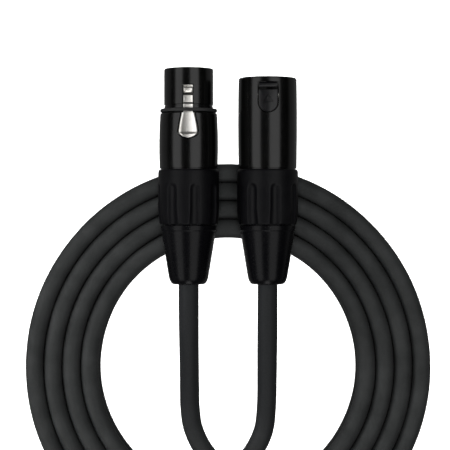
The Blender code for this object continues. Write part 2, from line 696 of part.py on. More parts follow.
def male_catch_bar():
    """The round bar across the window that the latch snaps behind."""
    half = WINDOW_HALF - GAP
    return [cross_bar("male_catch_bar", BAR_RADIUS, half, BAR_STATION, BAR_HEIGHT, black_nylon())]


def male_insert():
    """The moulded carrier of the three pins, at the bottom of the socket."""
    radius = SHELL_BORE - GAP
    rear, front = SHELL_STEP + GAP, MALE_INSERT_FRONT
    outline = [(rear, 0), (rear, radius), (front - 0.4 * MM, radius), (front, radius - 0.4 * MM), (front, 0)]
    part = turned("male_insert", outline, black_nylon(), 32)
    bores = rods("pin_bores", MALE_PIN_RADIUS + GAP, rear - MM, front + MM)
    cut(part, bores)
    return [part, bores]


def male_pins():
    """Three solid pins with solder cups behind the carrier."""
    made = []
    for number, (x, z) in enumerate(contact_places(), 1):
        r = MALE_PIN_RADIUS
        tip = MALE_PIN_TIP
        outline = [(MALE_CUP_REAR, 0), (MALE_CUP_REAR, r), (tip - r, r), (tip - 0.3 * r, 0.7 * r), (tip, 0)]
        part = turned(f"male_pin_{number}", outline, contact_silver(), SMALL_ROUND)
        part.location = (x, 0, z)
        made.append(part)
    return made


def build():
    clear_scene()
    cable_coil()
    cable_tie()
    cable_end("female_cable_end", FEMALE_ROUTE)
    cable_end("male_cable_end", MALE_ROUTE)
    female = (rear_group("female") + female_shell() + female_barrel() + female_seal_ring()
              + female_insert() + female_contacts() + latch_lever() + latch_pin() + latch_spring()
              + cores("female", FEMALE_CUP_REAR))
    male = (rear_group("male") + male_shell() + male_window_tongue() + male_catch_bar()
            + male_insert() + male_pins() + cores("male", MALE_CUP_REAR))
    place(female, FEMALE_X)
    place(male, MALE_X)


build()
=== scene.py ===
"""A coiled microphone cable with its two XLR connectors, lying on a light table under softboxes.

Everything is in metres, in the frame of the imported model: +Y points to the connectors' noses, +Z is up.
Stations along a connector are measured from the seam between shell and collar, and grow to the nose.
"""
import math

import bmesh
import bpy
import numpy as np
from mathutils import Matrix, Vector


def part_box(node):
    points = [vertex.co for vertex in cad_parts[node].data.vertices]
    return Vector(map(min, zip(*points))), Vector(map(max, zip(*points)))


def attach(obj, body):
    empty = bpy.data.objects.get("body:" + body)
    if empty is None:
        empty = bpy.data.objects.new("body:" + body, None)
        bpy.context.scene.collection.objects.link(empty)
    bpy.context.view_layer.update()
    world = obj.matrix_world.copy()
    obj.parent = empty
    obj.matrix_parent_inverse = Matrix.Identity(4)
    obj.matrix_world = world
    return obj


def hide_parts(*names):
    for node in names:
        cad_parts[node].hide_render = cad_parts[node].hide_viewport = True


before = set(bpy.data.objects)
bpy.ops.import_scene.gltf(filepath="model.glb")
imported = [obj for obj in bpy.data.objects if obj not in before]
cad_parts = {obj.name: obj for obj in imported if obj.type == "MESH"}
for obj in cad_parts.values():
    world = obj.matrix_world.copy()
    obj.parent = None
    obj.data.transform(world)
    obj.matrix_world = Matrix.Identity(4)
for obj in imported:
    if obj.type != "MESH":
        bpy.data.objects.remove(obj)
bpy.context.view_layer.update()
MM = 0.001

# --- Camera: a long lens looks straight down at the table, its top edge towards the noses ------------

CAMERA_PLACE = (-1.0 * MM, 32.2 * MM, 582.5 * MM)
LENS_MM = 139.2
camera_data = bpy.data.cameras.new("camera")
camera_data.lens = LENS_MM
camera_data.sensor_width = 36.0
camera_data.clip_start = 0.02
camera = bpy.data.objects.new("camera", camera_data)
camera.location = CAMERA_PLACE
bpy.context.scene.collection.objects.link(camera)
bpy.context.scene.camera = camera
bpy.context.scene.view_settings.view_transform = "Standard"

# --- The cable: 3 m of round twin-core microphone cable, its PVC jacket extruded over a braided shield.
# It is wound into two flat layers of four turns, and its two ends cross the hole to the connectors.

coil_low, coil_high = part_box("cable_coil")
COIL_CENTRE = np.array([(coil_low.x + coil_high.x) / 2, (coil_low.y + coil_high.y) / 2, 0.0])
CABLE_RADIUS = (coil_high.z - coil_low.z) / 4
TURN_PITCH = 6.05 * MM
TOP_SPREAD = 0.15 * MM
LAYER_TURNS = 4
TIE_LIFT = 1.05 * MM
END_ARC_CENTRE = np.array([13.8, -13.3]) * MM
END_ARC_RADIUS = 26.4 * MM
RING_SPACING = 1.25 * MM
JACKET_SIDES = 20

# Angles in degrees: where the ends join the turns, the spacing of the turns' points, where the steps
# outwards, down and inwards start and stop around the tie, and where the lift over the tie starts and stops
JOIN_ANGLE = 43.7
POINT_SPACING = 10
STEP_STARTS = [-4, -20, -40]
STEP_STOPS = [40, 20, 4]
LIFTED_WITHIN, LEVEL_BEYOND = 9, 27
ARC_START, ARC_STOP = -78, JOIN_ANGLE - 168
ARC_POINTS = 4

# The route of each end, from inside its connector to the crossing, measured from the coil's centre
MALE_ROUTE = np.array([
    (0.0127, 0.0565, 0.0225), (0.0127, 0.0500, 0.0225), (0.0127, 0.0400, 0.0225), (0.0127, 0.0300, 0.0225),
    (0.0127, 0.0240, 0.0224), (0.0127, 0.0150, 0.0212), (0.0127, 0.0060, 0.0186), (0.0127, -0.0030, 0.0156),
    (0.0126, -0.0120, 0.0128), (0.0117, -0.0206, 0.0107), (0.0083, -0.0280, 0.0098),
    (0.0032, -0.0336, 0.0097), (-0.0030, -0.0372, 0.0096),
])
FEMALE_ROUTE = np.array([
    (-0.0127, 0.0565, 0.0225), (-0.0127, 0.0500, 0.0225), (-0.0127, 0.0400, 0.0225),
    (-0.0127, 0.0300, 0.0225), (-0.0127, 0.0240, 0.0224), (-0.0127, 0.0160, 0.0207),
    (-0.0127, 0.0080, 0.0169), (-0.0127, 0.0000, 0.0121), (-0.0127, -0.0075, 0.0078),
    (-0.0126, -0.0140, 0.0049), (-0.0116, -0.0210, 0.0034), (-0.0083, -0.0280, 0.0031),
    (-0.0032, -0.0336, 0.0031), (0.0030, -0.0372, 0.0031),
])


def eased(value, start, stop):
    """Half a cosine wave that rises from 0 at start to 1 at stop."""
    return (1 - np.cos(np.pi * np.clip((value - start) / (stop - start), 0, 1))) / 2


def wound_turns():
    """The turns from the male end's joint: the angle falls steadily, clockwise from above. Near the tie
    a top turn steps outwards, the last top turn sinks to the lower layer, and a lower turn steps inwards,
    each by half a cosine wave, and all of them rise a little over the tie."""
    last = 360 * 2 * LAYER_TURNS - (180 - 2 * JOIN_ANGLE)
    travel = np.linspace(0, last, round(last / POINT_SPACING))
    angle = np.radians(JOIN_ANGLE - 180 - travel)
    tie_at = 270 + JOIN_ANGLE
    passes = tie_at + 360 * np.arange(2 * LAYER_TURNS - 1)
    steps = [LAYER_TURNS - 1, 1, LAYER_TURNS - 1]
    starts = passes + np.repeat(STEP_STARTS, steps)
    stops = passes + np.repeat(STEP_STOPS, steps)
    share = eased(travel[:, None], starts, stops)
    stepped = share @ np.repeat([1, 0, -1], steps)
    lowered = share @ np.repeat([0, 1, 0], steps)
    inner = (coil_high.x - coil_low.x) / 2 - CABLE_RADIUS - (LAYER_TURNS - 1) * TURN_PITCH
    radius = inner + TOP_SPREAD * (1 - lowered) + TURN_PITCH * stepped
    from_tie = np.abs((travel - tie_at + 180) % 360 - 180)
    lift = TIE_LIFT * (1 - eased(from_tie, LIFTED_WITHIN, LEVEL_BEYOND))
    height = CABLE_RADIUS * (3 - 2 * lowered) + lift
    return np.stack([radius * np.cos(angle), radius * np.sin(angle), height], axis=1)


def joining_arc(side, height):
    """The arc from the crossing to the innermost turn, on the side's own circle, at a steady height."""
    angle = np.radians(np.linspace(ARC_START, ARC_STOP, ARC_POINTS))
    x = -END_ARC_CENTRE[0] + END_ARC_RADIUS * np.cos(angle)
    y = END_ARC_CENTRE[1] + END_ARC_RADIUS * np.sin(angle)
    return np.stack([x * side, y, np.full(ARC_POINTS, height)], axis=1)


def smooth_line(points, spacing):
    """Points evenly spaced on the Catmull-Rom curve: each stretch is the cubic whose slope at a point
    is half the step between that point's neighbours."""
    ends = np.concatenate([[2 * points[0] - points[1]], points, [2 * points[-1] - points[-2]]])
    a, b, c, d = (ends[i:len(ends) - 3 + i, None] for i in range(4))
    t = np.linspace(0, 1, 12, endpoint=False)[None, :, None]
    square, cube = (2 * a - 5 * b + 4 * c - d), (3 * b - a - 3 * c + d)
    fine = (2 * b + (c - a) * t + square * t ** 2 + cube * t ** 3) / 2
    fine = np.concatenate([fine.reshape(-1, 3), points[-1:]])
    along = np.concatenate([[0], np.cumsum(np.linalg.norm(np.diff(fine, axis=0), axis=1))])
    at = np.linspace(0, along[-1], round(along[-1] / spacing))
    return np.stack([np.interp(at, along, fine[:, k]) for k in range(3)], axis=1)


def add_piece(name, points, faces, material, body, sharp=35):
    """A mesh object from arrays, riding on a body. Points closer than a micron are merged, and where the
    signed volume, the sum of the faces' corner triple products, is negative, the faces are turned over."""
    mesh = bpy.data.meshes.new(name)
    mesh.from_pydata(points.tolist(), [], faces)
    shape = bmesh.new()
    shape.from_mesh(mesh)
    bmesh.ops.remove_doubles(shape, verts=shape.verts, dist=1e-6)
    if shape.calc_volume(signed=True) < 0:
        bmesh.ops.reverse_faces(shape, faces=shape.faces)
    shape.to_mesh(mesh)
    shape.free()
    mesh.materials.append(material)
    mesh.shade_smooth()
    mesh.set_sharp_from_angle(angle=math.radians(sharp))
    piece = bpy.data.objects.new(name, mesh)
    bpy.context.scene.collection.objects.link(piece)
    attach(piece, body)
    return piece


def skin_faces(rows, columns, along=False):
    """Quads of a grid of points, row after row: closed around its columns, and along its rows if asked."""
    i = np.arange(rows if along else rows - 1)[:, None]
    j = np.arange(columns)[None, :]
    next_i, next_j = (i + 1) % rows, (j + 1) % columns
    quads = [i * columns + j, i * columns + next_j, next_i * columns + next_j, next_i * columns + j]
    return np.stack(quads, -1).reshape(-1, 4).tolist()


def capped(rows, columns):
    """The faces of an open skin with its first and last rows filled."""
    last = (rows - 1) * columns
    ends = [list(range(columns))[::-1], list(range(last, last + columns))]
    return skin_faces(rows, columns) + ends


def linear(hex_colour):
    """An sRGB hex colour as linear red, green, blue and alpha."""
    value = np.array([int(hex_colour[i:i + 2], 16) for i in (1, 3, 5)]) / 255
    value = np.where(value <= 0.04045, value / 12.92, ((value + 0.055) / 1.055) ** 2.4)
    return (*value.tolist(), 1.0)


def new_material(name, colour, roughness, metallic=0.0, ior=1.5):
    """A material with one Principled shader, and that shader. A lower ior gives a weaker reflection."""
    material = bpy.data.materials.new(name)
    material.use_nodes = True
    shader = material.node_tree.nodes["Principled BSDF"]
    shader.inputs["Base Color"].default_value = linear(colour)
    shader.inputs["Roughness"].default_value = roughness
    shader.inputs["Metallic"].default_value = metallic
    shader.inputs["IOR"].default_value = ior
    return material, shader


def add_node(owner, kind, settings=None, links=None):
    """Adds a node to a material or a world. Settings are socket or property values, and links are
    socket: (node, output)."""
    node = owner.node_tree.nodes.new(kind)
    for key, value in (settings or {}).items():
        if key in node.inputs:
            node.inputs[key].default_value = value
        else:
            setattr(node, key, value)
    for key, (source, output) in (links or {}).items():
        owner.node_tree.links.new(source.outputs[output], node.inputs[key])
    return node


def vary(material, shader, coordinates, grain_size, colours, roughness, bump):
    """Mottles a surface with noise: a fine grain of the given size raises it and changes its gloss, and
    its colour drifts in patches twelve grains wide."""
    drift = add_node(material, "ShaderNodeTexNoise",
                     {"Scale": 1 / (12 * grain_size), "Detail": 3.0}, {"Vector": coordinates})
    grain = add_node(material, "ShaderNodeTexNoise",
                     {"Scale": 1 / grain_size, "Detail": 6.0, "Roughness": 0.6}, {"Vector": coordinates})
    tint = add_node(material, "ShaderNodeValToRGB", {}, {"Fac": (drift, "Fac")})
    for element, place, colour in zip(tint.color_ramp.elements, (0.3, 0.7), colours):
        element.position = place
        element.color = linear(colour)
    gloss = add_node(material, "ShaderNodeMapRange",
                     {"From Min": 0.3, "From Max": 0.7, "To Min": roughness[0], "To Max": roughness[1]},
                     {"Value": (grain, "Fac")})
    relief = add_node(material, "ShaderNodeBump", {"Strength": 1.0, "Distance": bump},
                      {"Height": (grain, "Fac")})
    link = material.node_tree.links.new
    link(tint.outputs["Color"], shader.inputs["Base Color"])
    link(gloss.outputs["Result"], shader.inputs["Roughness"])
    link(relief.outputs["Normal"], shader.inputs["Normal"])
    return relief


def extruded_pvc():
    """Soft PVC, extruded: matte, with a fine grain and a tone that drifts in patches. Its two free ends are
    darkened with painted shade, a bluish near black that fades into the turns' own colour."""
    material, shader = new_material("extruded_matte_pvc", "#1c1d1d", 0.6, ior=1.28)
    surface = add_node(material, "ShaderNodeTexCoord")
    vary(material, shader, (surface, "Object"), 0.55 * MM, ("#191a1a", "#222323"), (0.5, 0.7), 0.045 * MM)
    mottled_colour = shader.inputs["Base Color"].links[0].from_node
    # The wound attribute is 0 at the free ends and 1 along the turns; where it is low the jacket takes the
    # painted shade colour #131415
    wound = add_node(material, "ShaderNodeAttribute", {"attribute_name": "wound"})
    jacket = add_node(material, "ShaderNodeMixRGB", {"Color1": linear("#131415")},
                      {"Fac": (wound, "Fac"), "Color2": (mottled_colour, "Color")})
    material.node_tree.links.new(jacket.outputs["Color"], shader.inputs["Base Color"])
    return material


# The cable's width and height as shares of its own: at the free ends, and in the upper and lower layers.
# The upper layer's are drawn narrower, which opens the dark gaps between its turns.
FREE_SECTION = np.array([[1.03, 1.03]])
TOP_SECTION = np.array([[0.95, 1.0]])
UNDER_SECTION = np.array([[1.0, 1.0]])
UNDER_HEIGHT, TOP_HEIGHT = 4 * MM, 8 * MM
FREE_WITHIN, WOUND_BEYOND = 85 * MM, 125 * MM
# Painted shade darkens the jacket within the first distance of each free end and is gone beyond the second
END_SHADE_WITHIN, END_SHADE_GONE_BEYOND = 60 * MM, 110 * MM
MALE_CROSSING, FEMALE_CROSSING = 9.4 * MM, 3.1 * MM
CORE_RIDGE = 0.03 * MM
CORE_LAY = 38.0 * MM


def tube_along(line, radius, sides, widths):
    """A round tube's points: on each point of the line stands a ring square to it, its first spoke level.
    Two low ridges, once round in each lay, wind along it where the cores inside press on the jacket."""
    forward = np.gradient(line, axis=0)
    forward /= np.linalg.norm(forward, axis=1, keepdims=True)
    across = np.cross(forward, [0.0, 0.0, 1.0])
    across /= np.linalg.norm(across, axis=1, keepdims=True)
    up = np.cross(across, forward)
    along = np.arange(len(line))[:, None] * RING_SPACING
    angle = np.linspace(0, 2 * np.pi, sides, endpoint=False)[None, :]
    reach = radius + CORE_RIDGE * np.sin(2 * angle + 2 * np.pi * along / CORE_LAY)
    level, upright = reach * np.cos(angle) * widths[:, :1], reach * np.sin(angle) * widths[:, 1:]
    return line[:, None] + across[:, None] * level[..., None] + up[:, None] * upright[..., None]


male_part = np.concatenate([MALE_ROUTE, joining_arc(1, MALE_CROSSING)])
female_part = np.concatenate([FEMALE_ROUTE, joining_arc(-1, FEMALE_CROSSING)])
cable_line = smooth_line(np.concatenate([male_part, wound_turns(), female_part[::-1]]), RING_SPACING)
cable_line += COIL_CENTRE
row = np.arange(len(cable_line))
from_end = np.minimum(row, row[::-1]) * RING_SPACING
raised = eased(cable_line[:, 2:], UNDER_HEIGHT, TOP_HEIGHT)
wound_section = UNDER_SECTION + (TOP_SECTION - UNDER_SECTION) * raised
section = FREE_SECTION + (wound_section - FREE_SECTION) * eased(from_end, FREE_WITHIN, WOUND_BEYOND)[:, None]
rings = tube_along(cable_line, CABLE_RADIUS, JACKET_SIDES, section)
cable = add_piece("cable", rings.reshape(-1, 3), capped(len(cable_line), JACKET_SIDES), extruded_pvc(),
                  "cable_set")
# Painted shade on the free ends: 0 near each end, rising to 1 along the wound turns, stored as the wound
# attribute
clear_of_end_shade = np.repeat(eased(from_end, END_SHADE_WITHIN, END_SHADE_GONE_BEYOND), JACKET_SIDES)
cable.data.attributes.new("wound", "FLOAT", "POINT").data.foreach_set("value", clear_of_end_shade)
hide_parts("cable_coil", "female_cable_end", "male_cable_end")

# --- The tie: a black hook-and-loop strap, woven with bound edges. It goes once round the eight turns
# and grips itself on top, and its free end is left a little longer so that it can be peeled.

TIE_WIDTH = 12.0 * MM
TIE_THICKNESS = 0.8 * MM
TIE_CORNER = 3.4 * MM
TIE_CLEARANCE = 0.05 * MM
STRAP_SIDES = 24
RIB_SPACING = 0.9 * MM
FLAP_START, FLAP_STOP = 2.0 * MM, 23.5 * MM
FLAP_CURL = 0.8 * MM


def strap_loop(clear, steps):
    """A closed loop in the YZ plane: a rectangle round the turns with round corners, each corner an arc,
    as rows of (y, z), from the outer top corner by way of the table and back."""
    outer = COIL_CENTRE[1] - coil_high.x - clear
    inner = COIL_CENTRE[1] - coil_high.x + LAYER_TURNS * TURN_PITCH + clear
    low, high = TIE_LIFT - clear, 4 * CABLE_RADIUS + TIE_LIFT + clear
    quarter = np.linspace(0, np.pi / 2, steps)
    arcs = []
    for centre, begin in (((outer + TIE_CORNER, high - TIE_CORNER), 90),
                          ((outer + TIE_CORNER, low + TIE_CORNER), 180),
                          ((inner - TIE_CORNER, low + TIE_CORNER), 270),
                          ((inner - TIE_CORNER, high - TIE_CORNER), 0)):
        angle = np.radians(begin) + quarter
        arcs.append(np.array(centre) + TIE_CORNER * np.stack([np.cos(angle), np.sin(angle)], -1))
    return np.concatenate(arcs)


def strap(path, width, thickness, closed):
    """A flat band: on each point of the path stands a cross-section with rounded edges, its width along
    X and its thickness along the path's own normal: |cos a|^0.3 of the one by |sin a|^0.7 of the other."""
    forward = np.roll(path, -1, 0) - np.roll(path, 1, 0) if closed else np.gradient(path, axis=0)
    forward /= np.linalg.norm(forward, axis=1, keepdims=True)
    normal = np.stack([forward[:, 1], -forward[:, 0]], -1)
    angle = np.linspace(0, 2 * np.pi, STRAP_SIDES, endpoint=False)
    across = np.sign(np.cos(angle)) * np.abs(np.cos(angle)) ** 0.3 * width / 2
    out = np.sign(np.sin(angle)) * np.abs(np.sin(angle)) ** 0.7 * thickness / 2
    x = np.broadcast_to(across, (len(path), STRAP_SIDES))
    y = path[:, :1] + normal[:, :1] * out
    z = path[:, 1:] + normal[:, 1:] * out
    points = np.stack([x, y, z], -1).reshape(-1, 3)
    if closed:
        return points, skin_faces(len(path), STRAP_SIDES, along=True)
    return points, capped(len(path), STRAP_SIDES)


def hook_and_loop():
    """Woven nylon with a napped face: no gloss, black with greyer fibre tips, and woven ribs across the
    strap. A wave texture of Scale s repeats every pi / (10 s), which gives the ribs their spacing."""
    material, shader = new_material("woven_hook_and_loop_nylon", "#0f0f0f", 0.9, ior=1.3)
    surface = add_node(material, "ShaderNodeTexCoord")
    relief = vary(material, shader, (surface, "Object"), 0.3 * MM, ("#0c0c0c", "#161617"), (0.85, 0.98),
                  0.08 * MM)
    weave = add_node(material, "ShaderNodeTexWave",
                     {"wave_type": "BANDS", "bands_direction": "X", "Scale": math.pi / (10 * RIB_SPACING),
                      "Distortion": 0.6}, {"Vector": (surface, "Object")})
    ribs = add_node(material, "ShaderNodeBump", {"Strength": 0.5, "Distance": 0.1 * MM},
                    {"Height": (weave, "Fac"), "Normal": (relief, "Normal")})
    material.node_tree.links.new(ribs.outputs["Normal"], shader.inputs["Normal"])
    shader.inputs["Sheen Weight"].default_value = 0.05
    shader.inputs["Sheen Roughness"].default_value = 0.5
    return material


tie_material = hook_and_loop()
around = strap_loop(TIE_THICKNESS / 2 + TIE_CLEARANCE, 8)
points, faces = strap(around, TIE_WIDTH, TIE_THICKNESS, True)
tie = add_piece("tie_strap", points, faces, tie_material, "cable_set")
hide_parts("cable_tie")
flap_z = around[:, 1].max() + TIE_THICKNESS + TIE_CLEARANCE
flap_y = COIL_CENTRE[1] - coil_high.x + np.linspace(FLAP_START, FLAP_STOP, 24)
curl_start = flap_y[-6]
curl = np.where(flap_y > curl_start, ((flap_y - curl_start) / (5 * MM)) ** 2 * FLAP_CURL, 0)
points, faces = strap(np.stack([flap_y, flap_z + curl], -1), TIE_WIDTH - 0.6 * MM, TIE_THICKNESS, False)
flap = add_piece("tie_free_end", points, faces, tie_material, "cable_set")

# --- The collars: hard nylon overmoulded with a soft grip, screwed onto the shells' rear threads. Eight
# finger flutes run back from a plain front band and widen where the collar tapers to the boot.

female_low, female_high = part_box("female_collar")
male_low, male_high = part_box("male_collar")
GAP = 0.3 * MM
SEAM_Y = female_high.y + GAP
AXIS_Z = (female_low.z + female_high.z) / 2
AXES = {"female": (female_low.x + female_high.x) / 2, "male": (male_low.x + male_high.x) / 2}
COLLAR_RADIUS = (female_high.x - female_low.x) / 2
COLLAR_REAR = female_low.y - SEAM_Y
BOOT_LOW, BOOT_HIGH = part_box("female_boot")
BOOT_RADIUS = (BOOT_HIGH.x - BOOT_LOW.x) / 2
LIP_RADIUS = BOOT_RADIUS + 0.4 * MM
COLLAR_REAR_RADIUS = LIP_RADIUS + 0.25 * MM
COLLAR_BORE = 8.0 * MM
COLLAR_TAPER = 5.0 * MM
FLUTE_RADIUS = 2.4 * MM
FLUTE_DEPTH = 0.75 * MM
FLUTE_START = 3.9 * MM
FLUTE_EDGE = 0.05 * MM
FLUTE_TURN = math.radians(13.4)
FLUTES = 8
COLLAR_COLUMNS = 240
FRONT_ROUND_LENGTH = 1.1 * MM
FRONT_ROUND_DEPTH = 0.5 * MM


def soften(corners, cuts, steps=5):
    """Rounds a closed outline: each corner gives way to a parabola that starts and ends a cut's length
    from it on its two sides, or not quite half a side where that is shorter."""
    corner = np.array(corners, float)
    cuts = np.array(cuts, float)[:, None]
    back, ahead = np.roll(corner, 1, 0) - corner, np.roll(corner, -1, 0) - corner
    back_length = np.linalg.norm(back, axis=1, keepdims=True)
    ahead_length = np.linalg.norm(ahead, axis=1, keepdims=True)
    start = corner + back * np.minimum(cuts / back_length, 0.48)
    stop = corner + ahead * np.minimum(cuts / ahead_length, 0.48)
    t = np.linspace(0, 1, steps)[None, :, None]
    curve = (1 - t) ** 2 * start[:, None] + 2 * t * (1 - t) * corner[:, None] + t ** 2 * stop[:, None]
    return curve.reshape(-1, 2)


def turned(station, radius, columns, side):
    """A closed profile swung once round the connector's axis. It has a station for each row, and one
    radius a row or a radius for each row and column."""
    station, radius = station[:, None], radius.reshape(len(station), -1)
    angle = np.linspace(0, 2 * np.pi, columns, endpoint=False)[None, :]
    x = AXES[side] + radius * np.sin(angle)
    y = np.broadcast_to(SEAM_Y + station, x.shape)
    z = AXIS_Z + radius * np.cos(angle)
    return np.stack([x, y, z], -1).reshape(-1, 3), skin_faces(len(station), columns, along=True)


def collar_radius(station, angle):
    """The grip's radius: a rounded front edge, a straight barrel and an eased taper, cut by round-bottomed
    flutes. A flute is a rod beside the collar whose near side, c cos d - sqrt(r^2 - c^2 sin^2 d), is the
    new surface, d being the angle from the flute, and a soft minimum rounds the edge between them."""
    front = np.clip((-GAP - station) / FRONT_ROUND_LENGTH, 0, 1)
    taper = np.clip((COLLAR_REAR + COLLAR_TAPER - station) / COLLAR_TAPER, 0, 1)
    plain = COLLAR_RADIUS - FRONT_ROUND_DEPTH * (1 - np.sqrt(1 - (1 - front) ** 2))
    plain -= (COLLAR_RADIUS - COLLAR_REAR_RADIUS) * taper ** 1.5
    centre = COLLAR_RADIUS - FLUTE_DEPTH + FLUTE_RADIUS
    ball = -GAP - FLUTE_START - FLUTE_RADIUS
    rod = np.sqrt(np.maximum(FLUTE_RADIUS ** 2 - np.maximum(station - ball, 0) ** 2, 1e-12))
    rod = rod + (centre - COLLAR_REAR_RADIUS + FLUTE_DEPTH - FLUTE_RADIUS) * taper
    pitch = 2 * np.pi / FLUTES
    away = (angle - FLUTE_TURN + pitch / 2) % pitch - pitch / 2
    inside = rod ** 2 - (centre * np.sin(away)) ** 2
    flute = np.where(inside > 0, centre * np.cos(away) - np.sqrt(np.maximum(inside, 0)), centre)
    lower = (plain + flute - np.sqrt((plain - flute) ** 2 + FLUTE_EDGE ** 2)) / 2
    return lower + FLUTE_EDGE ** 2 / (4 * FLUTE_RADIUS)


def soft_grip():
    """Nylon overmoulded in a spark-eroded mould: near black and matte, with an even grain that softens
    every highlight."""
    material, shader = new_material("spark_textured_soft_grip", "#030304", 0.42, ior=1.23)
    surface = add_node(material, "ShaderNodeTexCoord")
    vary(material, shader, (surface, "Object"), 0.45 * MM, ("#020203", "#050506"), (0.36, 0.5), 0.028 * MM)
    return material


grip = soft_grip()
flute_rows = np.concatenate([-GAP - np.linspace(0, 1, 9) ** 2 * 1.2 * MM,
                             np.linspace(-GAP - 1.6 * MM, COLLAR_REAR + 0.25 * MM, 64)])
around_collar = np.linspace(0, 2 * np.pi, COLLAR_COLUMNS, endpoint=False)
grip_radii = collar_radius(flute_rows[:, None], around_collar[None, :])
collar_inside = np.array([
    (COLLAR_REAR, COLLAR_REAR_RADIUS - 0.35 * MM), (COLLAR_REAR, COLLAR_BORE + 0.1 * MM),
    (COLLAR_REAR + 0.1 * MM, COLLAR_BORE), (-GAP - 0.1 * MM, COLLAR_BORE), (-GAP, COLLAR_BORE + 0.1 * MM),
])
inside_radii = np.broadcast_to(collar_inside[:, 1:], (len(collar_inside), COLLAR_COLUMNS))
collar_stations = np.concatenate([flute_rows, collar_inside[:, 0]])
collar_radii = np.concatenate([grip_radii, inside_radii])
for side in AXES:
    points, faces = turned(collar_stations, collar_radii, COLLAR_COLUMNS, side)
    collar = add_piece(side + "_grip_collar", points, faces, grip, "cable_set", 50)
    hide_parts(side + "_collar")

# --- The boots: strain reliefs moulded in a flexible plastic, pushed into the collars' rear ends. A plain
# lip shows below the collar, and the cone behind it ends in a round nose with the cable in its bore.

BOOT_FRONT = COLLAR_REAR - GAP
BOOT_REAR = BOOT_LOW.y - SEAM_Y
BOOT_PLUG_FRONT = BOOT_FRONT + 2.8 * MM
BOOT_PLUG_RADIUS = 7.6 * MM
BOOT_NOSE_RADIUS = 6.0 * MM
CABLE_BORE = CABLE_RADIUS + 0.15 * MM


def boot_plastic():
    """Polished thermoplastic elastomer: black with a soft gloss, faintly rippled by the mould's cooling."""
    material, shader = new_material("moulded_elastomer", "#040405", 0.26, ior=1.23)
    surface = add_node(material, "ShaderNodeTexCoord")
    vary(material, shader, (surface, "Object"), 1.1 * MM, ("#030304", "#050506"), (0.22, 0.3), 0.004 * MM)
    return material


boot_corners = np.array([
    (BOOT_PLUG_FRONT, CABLE_BORE), (BOOT_PLUG_FRONT, BOOT_PLUG_RADIUS), (BOOT_FRONT, BOOT_PLUG_RADIUS),
    (BOOT_FRONT, LIP_RADIUS), (BOOT_FRONT - 1.6 * MM, LIP_RADIUS - 0.1 * MM),
    (BOOT_FRONT - 1.75 * MM, LIP_RADIUS - 0.26 * MM), (BOOT_REAR, BOOT_NOSE_RADIUS), (BOOT_REAR, CABLE_BORE),
])
boot_profile = soften(boot_corners, np.array([0.1, 0.1, 0.1, 0.25, 0.2, 0.2, 3.0, 0.5]) * MM, 9)
boot_finish = boot_plastic()
for side in AXES:
    points, faces = turned(*boot_profile.T, 96, side)
    boot = add_piece(side + "_strain_relief", points, faces, boot_finish, "cable_set")
    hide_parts(side + "_boot")

# --- The shells: die-cast zinc, turned, polished and plated black. The female one is notched for the
# latch's push tab, and the male one is the socket, with a window that the catch bar spans.

SHELL_BORE = 8.1 * MM
SHELL_BELLY = COLLAR_RADIUS - 0.33 * MM
SHELL_REAR_RADIUS = 9.33 * MM
SHELL_FRONT_RADII = {"female": 9.17 * MM, "male": 9.35 * MM}
SHOULDER_RADIUS = 8.95 * MM
SHOULDER_REAR = -0.26 * MM
STEM_REAR = -6 * MM
STEM_RADIUS = 7.6 * MM
STEM_BORE = 6.9 * MM
BORE_STEP = 4 * MM
RIM_ROUND = 0.6 * MM
SHELL_COLUMNS = 144
FEMALE_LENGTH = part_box("female_shell")[1].y - SEAM_Y
MALE_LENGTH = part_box("male_shell")[1].y - SEAM_Y
ABOVE = AXIS_Z + 14 * MM
CUT_FLOOR = AXIS_Z + 5 * MM


def black_plating():
    """Black chrome over polished zinc: a dark mirror, slightly orange-peeled, with tiny handling marks."""
    material, shader = new_material("black_chrome_plating", "#030303", 0.2, ior=1.41)
    surface = add_node(material, "ShaderNodeTexCoord")
    vary(material, shader, (surface, "Object"), 0.7 * MM, ("#020202", "#040404"), (0.17, 0.24), 0.003 * MM)
    return material


def shell_profile(length, front_radius):
    """A closed shell outline. Its outside is the parabola through the rear, belly and front radii."""
    station = np.array([0.3 * MM, 0.42 * length, length - RIM_ROUND])
    bow = np.polyfit(station, [SHELL_REAR_RADIUS, SHELL_BELLY, front_radius], 2)
    outside = np.linspace(0.25 * MM, length - RIM_ROUND, 40)
    skin = np.stack([outside, np.polyval(bow, outside)], -1)
    quarter = np.linspace(0, np.pi / 2, 6)[1:]
    rim = np.stack([length - RIM_ROUND + RIM_ROUND * np.sin(quarter),
                    front_radius - RIM_ROUND * (1 - np.cos(quarter))], -1)
    inside = np.array([
        (length, SHELL_BORE + 0.25 * MM), (length - 0.25 * MM, SHELL_BORE), (BORE_STEP, SHELL_BORE),
        (BORE_STEP, STEM_BORE), (STEM_REAR, STEM_BORE), (STEM_REAR, STEM_RADIUS),
        (SHOULDER_REAR, STEM_RADIUS), (SHOULDER_REAR, SHOULDER_RADIUS), (0, SHOULDER_RADIUS),
        (0, SHELL_REAR_RADIUS - 0.25 * MM), (0.08 * MM, SHELL_REAR_RADIUS - 0.07 * MM),
    ])
    return np.concatenate([skin, rim, inside])


def prism(outline, low, high, side):
    """An outline of (x, station) points on the connector, carried from a low to a high Z."""
    x, y = AXES[side] + outline[:, 0], SEAM_Y + outline[:, 1]
    points = np.concatenate([np.stack([x, y, np.full(len(x), z)], -1) for z in (low, high)])
    return points, capped(2, len(outline))


